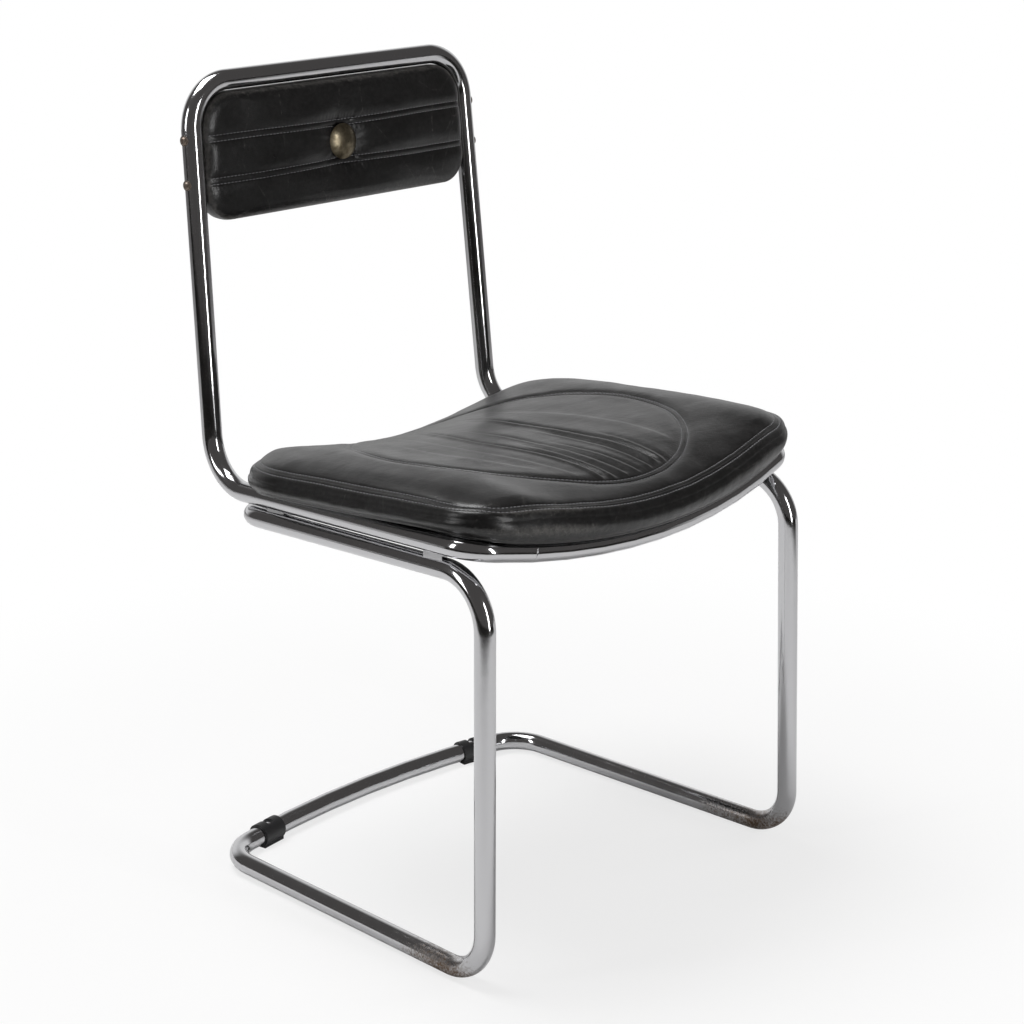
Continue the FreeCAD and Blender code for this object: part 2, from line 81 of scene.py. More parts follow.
# Seat, measured from the plane of the rails
SEAT_FRONT = np.array([0, -41.0, 0])
SEAT_CORNER = np.array([230.0, 2.0, 0])
SEAT_REAR = np.array([235.0, 370.5, 0])
SEAT_BOW_R, SEAT_CORNER_R, SEAT_REAR_R = 950.0, 50.0, 104.0
HEM = (222.0, 8.4, -19.0)
PAN = (222.0, 11.5, -17.6)
RIM = (220.0, 30.0, 3.5)
TOP_MID_Y, VALLEY, VALLEY_R, CROWN_R = 182.0, 39.5, 943.0, 7140.0
FALL_HALF, FALL_LONG = 252.0, 212.5
FALL_POWER = (4.0, 4.5)
ROUND_SEAM_Y, ROUND_SEAM_R = 174.0, 166.0
ROLL = 6.5
EDGE_SEAM = 8.0
SEAM_HALF = 3.0                        # each stitch row lies this far from its seam
SHOULDERS = ((190.0, 36.0, 4.5), (-170.0, 28.0, 3.2))     # x, width and rise of the full shoulders
SHOULDER_EDGE = (4.0, 26.0)            # the shoulders fade in over these distances from the outline
LEFT_FALL, LEFT_FALL_REACH = 6.5, 34.0
LEFT_X, LEFT_Y = (-120.0, -190.0), (-10.0, 110.0)
CORNER_FALL, CORNER_FALL_REACH, CORNER_X = 3.5, 40.0, (150.0, 205.0)
REAR_FALL, REAR_Y, REAR_X, REAR_WIDTH = 9.0, (210.0, 360.0), -5.0, 140.0
PANEL_RISE, PANEL_SPREAD, PANEL_MARGIN = 1.6, 60.0, 12.0
WAVES = ((5, 26.0, 3, 0.16), (8, 90.0, 2, 0.7))           # seed, size, octaves and height
PUCKERS, PUCKER_HEIGHT, PUCKER_AT, PUCKER_WIDTH = 236, 0.09, 6.0, 3.5
BAND_HEIGHT, HEM_IN, HEM_ROLL = 34.0, 4.0, 2.6
LINING_HALF, LINING_MID_Y = (166.0, 150.0), 176.0
PAN_AIR = 0.5                          # between the cover's underside and the pan
TUBE_AIR = 0.8                         # between the cover and the rails

# Back pad, measured up the plane of the uprights
PAD_LOW, PAD_TOP = 258.6, 383.0
PAD_SIDE_GAP = 0.5
UPRIGHT = math.hypot(HOOP[1] - BEND[1], HOOP[2] - BEND[2])
PAD_HALF_LOW, PAD_HALF_TOP = (
    BEND[0] + (HOOP[0] - BEND[0]) * s / UPRIGHT - TUBE_R - PAD_SIDE_GAP for s in (PAD_LOW, PAD_TOP))
PAD_REAR, PAD_FRONT = 11.0, 19.0
PAD_ACROSS_R, PAD_UP_R = 1900.0, 420.0
PAD_ROLL, PAD_LIP, PAD_REAR_ROLL = 13.0, 4.0, 3.0
PAD_CORNER_LOW_R, PAD_CORNER_TOP_R = 30.0, 36.0
PAD_SEAM_SPREAD, PAD_SEAM_BEND, PAD_SEAM_BEND_X = 18.9, 1.8, 110.0
TUFT_DEEP, TUFT_SPREAD, TUFT_POWER = 8.5, 21.0, 1.25
TUFT_S = 319.1
BUTTON_R = 18.0


def place(points):
    """Chair space in millimetres to the row frame in metres."""
    return (np.asarray(points, float) - [0, MID_Y, 0]) * MM


def seat_space(x, y, w):
    """Seat space (w up from the plane of the rails) to chair space: a turn about the bend's cross line."""
    dy = y - BEND[1]
    c, s = math.cos(SLOPE), math.sin(SLOPE)
    return np.stack([x, BEND[1] + dy * c + w * s, BEND[2] - dy * s + w * c], -1)


def back_space(x, y, s):
    """Back space (s up the uprights, y to the rear) to chair space: the same turn by the uprights' lean."""
    c, t = math.cos(LEAN), math.sin(LEAN)
    return np.stack([x, BEND[1] + y * c + s * t, BEND[2] - y * t + s * c], -1)


def mirror(p):
    return p * [-1, 1, 1]


# Meshes
def grid_piece(name, points, wrap_u=True, wrap_v=False, flip=False, attributes=(), weld=False):
    """A mesh on a grid of points (u, v, xyz), one quad a cell; u and v may close on themselves."""
    nu, nv = points.shape[:2]
    i = np.arange(nu if wrap_u else nu - 1)[:, None]
    j = np.arange(nv if wrap_v else nv - 1)[None, :]
    i2, j2 = (i + 1) % nu, (j + 1) % nv
    quads = np.stack([i * nv + j, i2 * nv + j, i2 * nv + j2, i * nv + j2], -1).reshape(-1, 4)
    if flip:
        quads = quads[:, ::-1]
    return mesh_piece(name, points.reshape(-1, 3), quads, attributes, weld)


def mesh_piece(name, points, faces, attributes=(), weld=False):
    mesh = bpy.data.meshes.new(name)
    mesh.from_pydata(place(points).tolist(), [], faces.tolist())
    for label, values in attributes:
        layer = mesh.attributes.new(label, "FLOAT", "POINT")
        layer.data.foreach_set("value", np.asarray(values, np.float32).ravel())
    mesh.polygons.foreach_set("use_smooth", np.ones(len(mesh.polygons), bool))
    mesh.update()
    if weld:
        bm = bmesh.new()
        bm.from_mesh(mesh)
        bmesh.ops.remove_doubles(bm, verts=bm.verts, dist=weld)
        bm.to_mesh(mesh)
        bm.free()
    piece = bpy.data.objects.new(name, mesh)
    bpy.context.scene.collection.objects.link(piece)
    return piece


def finish_piece(piece, material, slot, *nodes):
    piece.data.materials.append(material)
    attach(piece, "root")
    if nodes:
        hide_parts(*nodes)
    return piece


# Paths: straight runs joined by arcs of given radii
def rounded(corners, radii, step=math.radians(3)):
    """Points and tangents round a closed run: each corner is an arc that touches both its straight runs."""
    n = len(corners)
    points, tangents = [], []
    for i, (p, r) in enumerate(zip(corners, radii)):
        a = corners[i - 1] - p
        b = corners[(i + 1) % n] - p
        a, b = a / np.linalg.norm(a), b / np.linalg.norm(b)
        half = math.acos(np.clip(a @ b, -1, 1)) / 2
        inner = (a + b) / np.linalg.norm(a + b)
        centre = p + inner * (r / math.sin(half))
        turn = math.pi - 2 * half
        k = max(int(turn / step), 4)
        t = np.linspace(-turn / 2, turn / 2, k + 1)[:, None]
        across = (b - a) / np.linalg.norm(b - a)
        points.append(centre + r * (-inner * np.cos(t) + across * np.sin(t)))
        tangents.append(inner * np.sin(t) + across * np.cos(t))
    return points, tangents


def densify(points, tangents, gap=12.0):
    """Fills the straight runs between arcs with points no further apart than gap."""
    out_p, out_t = [], []
    n = len(points)
    for i in range(n):
        out_p.append(points[i])
        out_t.append(tangents[i])
        a, b = points[i][-1], points[(i + 1) % n][0]
        length = np.linalg.norm(b - a)
        k = int(length / gap)
        if k > 0:
            f = (np.arange(1, k + 1) / (k + 1))[:, None]
            out_p.append(a + (b - a) * f)
            out_t.append(np.repeat(((b - a) / length)[None], k, 0))
    return np.concatenate(out_p), np.concatenate(out_t)


def tube_points(centre, tangent, radius, sides=56):
    """Rings round a closed path: the ring's frame is carried on by the least turn, and the twist that is
    left over after one round is shared out along the path."""
    n = len(centre)
    normal = np.empty_like(centre)
    start = np.cross(tangent[0], [0, 0, 1.0])
    normal[0] = start / np.linalg.norm(start)
    for k in range(1, n):
        v = normal[k - 1] - tangent[k] * (normal[k - 1] @ tangent[k])
        normal[k] = v / np.linalg.norm(v)
    last = normal[-1] - tangent[0] * (normal[-1] @ tangent[0])
    last /= np.linalg.norm(last)
    twist = math.atan2(np.cross(last, normal[0]) @ tangent[0], last @ normal[0])
    other = np.cross(tangent, normal)
    angle = np.linspace(0, TAU, sides, endpoint=False)[None, :] + twist * np.linspace(0, 1, n)[:, None]
    ring = normal[:, None] * np.cos(angle)[..., None] + other[:, None] * np.sin(angle)[..., None]
    return centre[:, None] + ring * np.broadcast_to(radius, (n,))[:, None, None]


def loop_tube(name, corners, radii, joint_at):
    """A round tube along the rounded run. Its radius drops in a hair-wide ring at the butt joint."""
    points, tangents = densify(*rounded(corners, radii))
    k = int(np.argmin(np.linalg.norm(points - joint_at, axis=1)))
    offsets = np.array([-0.9, -0.3, -0.12, 0.12, 0.3, 0.9])
    drop = np.array([0, 0.02, 0.45, 0.45, 0.02, 0])
    extra = points[k] + tangents[k] * offsets[:, None]
    points = np.concatenate([points[:k], extra, points[k + 1:]])
    same = np.repeat(tangents[k][None], len(drop), 0)
    tangents = np.concatenate([tangents[:k], same, tangents[k + 1:]])
    radius = np.full(len(points), TUBE_R)
    radius[k:k + len(drop)] -= drop
    return grid_piece(name, tube_points(points, tangents, radius), wrap_v=True)


SEAT_LOOP = ([FRONT_APEX, FRONT, BEND, HOOP] + [mirror(p) for p in (HOOP, BEND, FRONT)],
             [710.0, 28.0, 52.0, 47.0, 47.0, 52.0, 28.0])
BASE_LOOP = ([FOOT_APEX, FOOT_REAR, FOOT, KNEE, UNDER, UNDER_APEX]
             + [mirror(p) for p in (UNDER, KNEE, FOOT, FOOT_REAR)],
             [1000.0, 45.0, 45.0, 50.0, 36.0, 1090.0, 36.0, 50.0, 45.0, 45.0])


# The seat's form
def saddle(form, x):
    """Level of a saddle surface: a circle's arc through its middle level and its level at the sides."""
    half, side, middle = form
    r = (half ** 2 + (side - middle) ** 2) / (2 * (side - middle))
    return middle + r - np.sqrt(r * r - x * x)


def outline_run(corners, radii):
    points, _ = densify(*rounded(corners, radii, math.radians(1)), gap=2.0)
    return points


SEAT_EDGE = outline_run([SEAT_FRONT, SEAT_CORNER, SEAT_REAR, mirror(SEAT_REAR), mirror(SEAT_CORNER)],
                        [SEAT_BOW_R, SEAT_CORNER_R, SEAT_REAR_R, SEAT_REAR_R, SEAT_CORNER_R])
SEAT_HEART = np.array([0.0, ROUND_SEAM_Y])


def seat_reach(angle):
    """Distance from the seat's heart to its outline in each direction."""
    d = SEAT_EDGE[:, :2] - SEAT_HEART
    a = np.arctan2(d[:, 1], d[:, 0])
    order = np.argsort(a)
    return np.interp(angle, a[order], np.hypot(*d.T)[order], period=TAU)


def seat_top(x, y):
    """Level of the cushion's top: a wide round valley, crowned from front to rear, that falls away to the
    rim's saddle as the fourth power of the way to the sides and ends."""
    foot = saddle(RIM, x)
    dy = y - TOP_MID_Y
    full = VALLEY + x ** 2 / (2 * VALLEY_R) - dy ** 2 / (2 * CROWN_R)
    across = 1 - np.abs(x / FALL_HALF) ** FALL_POWER[0]
    along = 1 - np.abs(dy / FALL_LONG) ** FALL_POWER[1]
    return foot + (full - foot) * across * along


def dip(t, width):
    return np.exp(-(t / width) ** 2)


def mild(value, low, high):
    """A smooth step from 0 at low to 1 at high."""
    t = np.clip((value - low) / (high - low), 0, 1)
    return t * t * (3 - 2 * t)


def soft_noise(x, y, seed, size, octaves=3):
    """Smooth noise from a few sines of seeded directions and phases, finer and fainter octave by octave."""
    rng = np.random.default_rng(seed)
    total = np.zeros_like(x, dtype=float)
    for octave in range(octaves):
        for _ in range(7):
            a, phase = rng.uniform(0, TAU, 2)
            k = TAU / (size / 2 ** octave) * rng.uniform(0.7, 1.3)
            total += np.sin(k * (x * math.cos(a) + y * math.sin(a)) + phase) / 2 ** octave
    return total / 7


# Folds of the round panel: points (x, y) from the rear to the front, depth, width, and the lip's side
FOLDS = (
    (((6, 350), (-44, 231), (-48, 156), (-44, 98), (-43, 52), (-42, 14)), 3.0, 2.6, 1),
    (((34, 300), (35, 186), (36, 124), (36, 63), (35, 14)), 3.0, 2.6, 1),
    (((-16, 240), (-14, 150), (-16, 62), (-13, 12)), 1.3, 2.2, 1),
    (((22, 180), (20, 90), (20, 10)), 1.3, 2.0, 1),
    (((-2, 130), (-1, 66), (2, 12)), 1.2, 1.9, 1),
    (((-28, 150), (-30, 62), (-29, 12)), 1.2, 2.0, 1),
    (((50, 120), (48, 50), (44, 12)), 1.0, 2.2, 1),
    (((62, 300), (84, 200), (92, 100), (84, 40)), 0.5, 6.0, 1),
    (((-92, 280), (-112, 200), (-106, 130), (-88, 60)), 0.7, 4.0, 1),
    (((-70, 300), (-80, 210), (-76, 110), (-62, 30)), 0.8, 3.4, 1),
)


FRONT_FADE, REAR_FADE = 0.06, 0.3      # shares of a fold's length over which its ends fade
STEEP, GENTLE, LIP = 0.40, 2.4, 0.45   # the valley's two widths and the lip's height, as shares


def fold_depth(x, y):
    """Each fold is a sharp valley with a soft lip beside it, along a smooth line through its points, fading
    at its two ends."""
    total = np.zeros_like(x)
    for points, depth, width, side in FOLDS:
        px, py = np.array(points, float).T
        curve = np.polyfit(py, px, min(len(points) - 1, 3))
        t = (y - py[-1]) / (py[0] - py[-1])
        ends = mild(np.clip(t / FRONT_FADE, 0, 1) * np.clip((1 - t) / REAR_FADE, 0, 1), 0, 1)
        line = np.polyval(curve, np.clip(y, py[-1], py[0]))
        across = (x - line) * side
        valley = -np.where(across < 0, dip(across, width * STEEP), dip(across, width * GENTLE))
        lip = LIP * dip(across + width * 1.6, width * 1.5)
        total += depth * ends * (valley + lip)
    return total


def seam_groove(t, depth, width, stitch=0.7):
    """A sewn seam's section: drawn down over its width, with the felled edge standing in the middle and a
    small dent under each stitch row."""
    return (-depth * dip(t, width) + 0.3 * depth * dip(t, 1.5) - 0.45 * dip(t, 0.45)
            - stitch * (dip(t - SEAM_HALF, 0.8) + dip(t + SEAM_HALF, 0.8)))


def drawn_in(edge, depth, reach):
    """A fall toward the outline, as the square of the way in from reach."""
    return depth * np.clip(1 - edge / reach, 0, 1) ** 2


def seat_surface(x, y, edge):
    """Level of the finished top at x, y with edge the distance to the outline: the cushion's top, sewn down
    along the round seam and the edge seam, folded inside the round, and rolled over the edge."""
    ring = np.hypot(x, y - ROUND_SEAM_Y) - ROUND_SEAM_R
    inside = np.clip(-ring / PANEL_MARGIN, 0, 1)
    level = seat_top(x, y)
    level = level + sum(rise * dip(x - at, width) for at, width, rise in SHOULDERS) * mild(edge, *SHOULDER_EDGE)
    level = level - drawn_in(edge, LEFT_FALL, LEFT_FALL_REACH) * mild(x, *LEFT_X) * mild(y, *LEFT_Y)
    level = level - drawn_in(edge, CORNER_FALL, CORNER_FALL_REACH) * mild(np.abs(x), *CORNER_X)
    level = level - REAR_FALL * mild(y, *REAR_Y) * dip(x - REAR_X, REAR_WIDTH)
    level = level + seam_groove(ring, 2.4, 7.0) + seam_groove(edge - EDGE_SEAM, 1.3, 5.0)
    level = level + fold_depth(x, y) * inside
    level = level + PANEL_RISE * inside * (1 - dip(ring, PANEL_SPREAD))
    for seed, size, octaves, height in WAVES:
        level = level + soft_noise(x, y, seed, size, octaves) * height
    beside = dip(ring - PUCKER_AT, PUCKER_WIDTH) + dip(ring + PUCKER_AT, PUCKER_WIDTH)
    pucker = np.sin(np.arctan2(y - ROUND_SEAM_Y, x) * PUCKERS) * PUCKER_HEIGHT * beside
    roll = 1 - np.sqrt(np.clip(1 - (1 - np.clip(edge / ROLL, 0, 1)) ** 2, 0, 1))
    return level + pucker - ROLL * roll


RAIL_LINE = densify(*rounded(*SEAT_LOOP), gap=4.0)[0]
ABOVE_RAILS = 30.0                     # what stands higher over the rails' plane is the back
FAR_BELOW = -99.0


def tube_ceiling(x, y):
    """Lowest level that clears the seat rails and front bar at x, y in seat space, from the nearest point of
    their centre line; far below where no tube is near."""
    c, s = math.cos(SLOPE), math.sin(SLOPE)
    dy, dz = RAIL_LINE[:, 1] - BEND[1], RAIL_LINE[:, 2] - BEND[2]
    plan = np.stack([RAIL_LINE[:, 0], BEND[1] + dy * c - dz * s], -1)
    level = dy * s + dz * c
    near = level < ABOVE_RAILS
    plan, level = plan[near], level[near]
    gap2 = (x.ravel()[:, None] - plan[:, 0]) ** 2 + (y.ravel()[:, None] - plan[:, 1]) ** 2
    best = gap2.argmin(1)
    gap2 = gap2[np.arange(len(best)), best]
    clear = TUBE_R + TUBE_AIR
    over = level[best] + np.sqrt(np.maximum(clear ** 2 - gap2, 0))
    return np.where(gap2 < clear ** 2, over, FAR_BELOW).reshape(x.shape)


def seat_rim(count):
    """Directions from the seat's heart, the outline there, its outward normals, and the distances."""
    angle = np.linspace(-math.pi, math.pi, count, endpoint=False)
    reach = seat_reach(angle)
    direction = np.stack([np.cos(angle), np.sin(angle)], -1)
    rim = SEAT_HEART + direction * reach[:, None]
    step = np.roll(rim, -1, 0) - np.roll(rim, 1, 0)
    out = np.stack([step[:, 1], -step[:, 0]], -1)
    out /= np.linalg.norm(out, axis=1)[:, None]
    return angle, reach[:, None], direction, rim, out


def seat_cushion():
    """Closed form on a polar grid round the seat's heart: over the top, over the rolled edge, down the
    bulging band, round the hem and back under to the middle."""
    columns = 720
    angle, reach, direction, rim, out = seat_rim(columns)
    square = np.abs((out * direction).sum(1))[:, None]
    fine_from, seam_from = 0.93, 0.935
    inner = ROUND_SEAM_R * np.concatenate([[0.0], np.linspace(0.012, fine_from, 104),
                                           np.linspace(seam_from, 1.0, 22)])
    near_round, near_edge, last = 0.12, 0.66, 0.07
    quarter = np.linspace(0, TAU / 4, 12)
    outer = np.concatenate([
        np.linspace(0, near_round, 12)[1:], np.linspace(near_round, near_edge, 20)[1:],
        np.linspace(near_edge, 1 - last, 30)[1:], 1 - last * (1 - np.sin(quarter))[1:]])
    radial = np.concatenate([np.broadcast_to(inner, (columns, len(inner))),
                             ROUND_SEAM_R + (reach - ROUND_SEAM_R) * outer], 1)
    x = SEAT_HEART[0] + direction[:, :1] * radial
    y = SEAT_HEART[1] + direction[:, 1:] * radial
    edge = (reach - radial) * square
    top = seat_space(x, y, seat_surface(x, y, edge))

    rx, ry = rim[:, :1], rim[:, 1:]
    high = seat_surface(rx, ry, np.zeros_like(rx)) - 0.4
    lifted = 1.2 * dip(ry - 80.0, 60.0) * (rx < -180)
    low = np.maximum(saddle(HEM, rx) + 2.0, tube_ceiling(rx, ry) + TUBE_AIR) + lifted
    q = np.linspace(0, 1, 28)[None, 1:]
    along = np.cumsum(np.hypot(*(np.roll(rim, -1, 0) - rim).T))[:, None] + 0 * q
    down = q * BAND_HEIGHT
    ripple = soft_noise(along, down, 3, 60.0) * 0.5 + soft_noise(along, down, 4, 24.0) * 0.12
    bulge = 2.6 * np.sin(math.pi * q ** 0.8) - HEM_IN * q ** 3 + ripple * np.sin(math.pi * q)
    band = seat_space(rx + out[:, :1] * bulge, ry + out[:, 1:] * bulge, high + (low - high) * q)

    turn = np.linspace(0, TAU / 4, 8)[None, 1:]
    tuck = HEM_IN + 3.0 * (1 - np.cos(turn))
    hem = seat_space(rx - out[:, :1] * tuck, ry - out[:, 1:] * tuck, low - HEM_ROLL * np.sin(turn))

    inset = np.concatenate([np.linspace(7.6, 46.0, 22), reach.min() * np.array([0.5, 0.75, 1.0])])[None, :]
    share = np.minimum(inset / reach, 1.0)
    share[:, -1] = 1.0
    ux, uy = rx + (SEAT_HEART[0] - rx) * share, ry + (SEAT_HEART[1] - ry) * share
    blend = np.clip((share * reach - 7.0) / 12.0, 0, 1)
    under = (low - HEM_ROLL) * (1 - blend) + (saddle(PAN, ux) - PAN_AIR) * blend
    bottom = seat_space(ux, uy, np.maximum(under, tube_ceiling(ux, uy)))

    left_corner, right_corner = angle[:, None] + 2.25, angle[:, None] + 0.9
    corner = dip(left_corner, 0.30) + 0.35 * dip(right_corner, 0.25)
    rub = np.concatenate([
        np.clip(0.55 * dip(edge - EDGE_SEAM + 4, 5.0) * (0.5 + corner), 0, 1),
        np.clip(0.22 + 0.30 * q ** 2 + corner * 0.62 * dip(q - 0.45, 0.28), 0, 1),
        np.full((columns, turn.shape[1]), 0.5), np.full(ux.shape, 0.1)], 1)
    return grid_piece("seat_cushion", np.concatenate([top, band, hem, bottom], 1),
                      attributes=[("rub", rub)], weld=WELD)


def seat_lining():
    """The dark cloth stapled under the pan: a thin closed shell on a grid squeezed to a rounded oblong, which
    follows the pan's saddle and hangs a little between its fixings."""
    n, thick, squeeze = 60, 0.5, 0.10
    u, v = np.meshgrid(np.linspace(-1, 1, n), np.linspace(-1, 1, n), indexing="ij")
    x = LINING_HALF[0] * u * np.sqrt(1 - squeeze * v ** 8)
    y = LINING_MID_Y + LINING_HALF[1] * v * np.sqrt(1 - squeeze * u ** 8)
    slack = 0.25 * np.sin(u * 9 + v * 4) * np.sin(v * 7) * (1 - u ** 8)
    sag = 0.5 + 0.9 * (1 - u ** 2) * (1 - v ** 2) + slack
    upper = seat_space(x, y, saddle(PAN, x) - 0.4 - sag)
    lower = seat_space(x, y, saddle(PAN, x) - (0.4 + thick) - sag)
    i, j = np.meshgrid(np.arange(n - 1), np.arange(n - 1), indexing="ij")
    a = (i * n + j).ravel()
    quad = np.stack([a, a + n, a + n + 1, a + 1], -1)
    side = np.arange(n)
    ring = np.concatenate([side * n, (n - 1) * n + side[1:], side[-2::-1] * n + n - 1, side[-2:0:-1]])
    wall = np.stack([ring, np.roll(ring, -1), np.roll(ring, -1) + n * n, ring + n * n], -1)
    faces = np.concatenate([quad[:, ::-1], quad + n * n, wall])
    return mesh_piece("seat_lining", np.concatenate([lower.reshape(-1, 3), upper.reshape(-1, 3)]), faces)


# Threads: one small spindle a stitch
def stitches(name, rows, radius=0.42, sides=6):
    """Spindles that lie along their rows: a circle's section whose radius swells and closes over the length.
    rows holds (points, tangents, normals, length)."""
    t = np.array([0, 0.12, 0.35, 0.65, 0.88, 1.0])
    swell = np.array([0.02, 0.7, 1, 1, 0.7, 0.02])
    phi = np.linspace(0, TAU, sides, endpoint=False)
    all_points, all_faces, count = [], [], 0
    i = np.arange(len(t) - 1)[:, None]
    j = np.arange(sides)[None, :]
    j2 = (j + 1) % sides
    cell = np.stack([i * sides + j, i * sides + j2, (i + 1) * sides + j2, (i + 1) * sides + j],
                    -1).reshape(-1, 4)
    for points, tangents, normals, length in rows:
        side = np.cross(tangents, normals)
        centre = points[:, None] + tangents[:, None] * (length * (t - 0.5))[None, :, None]
        ring = (side[:, None, None] * np.cos(phi)[:, None] + normals[:, None, None] * np.sin(phi)[:, None])
        p = centre[:, :, None] + ring * (radius * swell)[None, :, None, None]
        n = len(points)
        all_points.append(p.reshape(-1, 3))
        base = count + np.arange(n)[:, None, None] * (len(t) * sides)
        all_faces.append((base + cell[None]).reshape(-1, 4))
        count += n * len(t) * sides
    return mesh_piece(name, np.concatenate(all_points), np.concatenate(all_faces))


def even_steps(points, pitch, closed=True):
    """Places pitch apart along a run of points, with their tangents."""
    run = np.vstack([points, points[:1]]) if closed else points
    s = np.concatenate([[0], np.cumsum(np.linalg.norm(np.diff(run, axis=0), axis=1))])
    count = int(s[-1] / pitch)
    at = (np.arange(count) + 0.5) * s[-1] / count

    def pick(v):
        return np.stack([np.interp(v, s, run[:, k]) for k in range(3)], -1)

    tangent = pick(np.minimum(at + pitch / 4, s[-1])) - pick(np.maximum(at - pitch / 4, 0))
    return pick(at), tangent / np.linalg.norm(tangent, axis=1)[:, None]


def seam_row(points, up, pitch=4.2, length=3.3, closed=True):
    """Even places along a run, with normals square to the run and close to up."""
    at, tangents = even_steps(points, pitch, closed)
    across = np.cross(np.broadcast_to(up, tangents.shape), tangents)
    normals = np.cross(tangents, across)
    return at, tangents, normals / np.linalg.norm(normals, axis=1)[:, None], length


SEAT_UP = seat_space(0, 0, 1.0) - seat_space(0, 0, 0.0)
THREAD_LIFT = 0.2


def round_seam_rows():
    a = np.linspace(0, TAU, 1400, endpoint=False)
    for r in (ROUND_SEAM_R - SEAM_HALF, ROUND_SEAM_R + SEAM_HALF):
        x, y = r * np.cos(a), ROUND_SEAM_Y + r * np.sin(a)
        edge = (seat_reach(a) - r) * 0.95
        yield seam_row(seat_space(x, y, seat_surface(x, y, edge) + THREAD_LIFT), SEAT_UP)


def edge_seam_rows():
    angle, reach, direction, rim, out = seat_rim(2400)
    for inset in (EDGE_SEAM - SEAM_HALF, EDGE_SEAM + SEAM_HALF):
        x, y = (rim - out * inset).T
        level = seat_surface(x, y, np.full_like(x, inset))
        yield seam_row(seat_space(x, y, level + THREAD_LIFT), SEAT_UP)


# The back pad's form
PAD_EDGE = outline_run([np.array([PAD_HALF_LOW, PAD_LOW, 0]), np.array([PAD_HALF_TOP, PAD_TOP, 0]),
                        np.array([-PAD_HALF_TOP, PAD_TOP, 0]), np.array([-PAD_HALF_LOW, PAD_LOW, 0])],
                       [PAD_CORNER_LOW_R, PAD_CORNER_TOP_R, PAD_CORNER_TOP_R, PAD_CORNER_LOW_R])
PAD_HEART = np.array([0.0, TUFT_S])


def pad_seam(x, upper):
    """Height of a cross seam: level, and a little nearer to the button's middle close to it."""
    spread = PAD_SEAM_SPREAD + PAD_SEAM_BEND * np.clip(np.abs(x) / PAD_SEAM_BEND_X, 0, 1)
    return TUFT_S + (spread if upper else -spread)


def pad_front(x, s, edge):
    """How far the pad's face stands forward: crowned both ways, rolled at the edge, drawn down along the two
    seams and pulled in at the button, with fine gathers that run out from both."""
    mid = (PAD_LOW + PAD_TOP) / 2
    face = PAD_FRONT - x ** 2 / (2 * PAD_ACROSS_R) - (s - mid) ** 2 / (2 * PAD_UP_R)
    for upper in (True, False):
        t = s - pad_seam(x, upper)
        face = face - 2.2 * dip(t, 7.5) + 0.5 * dip(t, 1.9)
        face = face - 0.8 * (dip(t + SEAM_HALF, 0.8) + dip(t - SEAM_HALF, 0.8))
        face = face + np.sin(x * TAU / 4.6 + 2 * np.sin(x / 9)) * 0.10 * dip(np.abs(t) - 6.5, 3.0)
    r = np.hypot(x, s - TUFT_S)
    a = np.arctan2(s - TUFT_S, x)
    face = face - TUFT_DEEP * np.exp(-(np.maximum(r - BUTTON_R * 0.8, 0) / TUFT_SPREAD) ** TUFT_POWER)
    gathers = 0.55 * np.sin(9 * a + 1.3) + 0.4 * np.sin(16 * a + 0.4) + 0.25 * np.sin(23 * a)
    face = face + gathers * dip(r - 24, 12) * 0.3
    face = face + soft_noise(x, s, 21, 80.0, 2) * 0.9 + soft_noise(x, s, 22, 30.0, 2) * 0.16
    roll = np.sqrt(np.clip(1 - (1 - np.clip(edge / PAD_ROLL, 0, 1)) ** 2, 0, 1))
    return face * roll + (1 - roll) * PAD_LIP


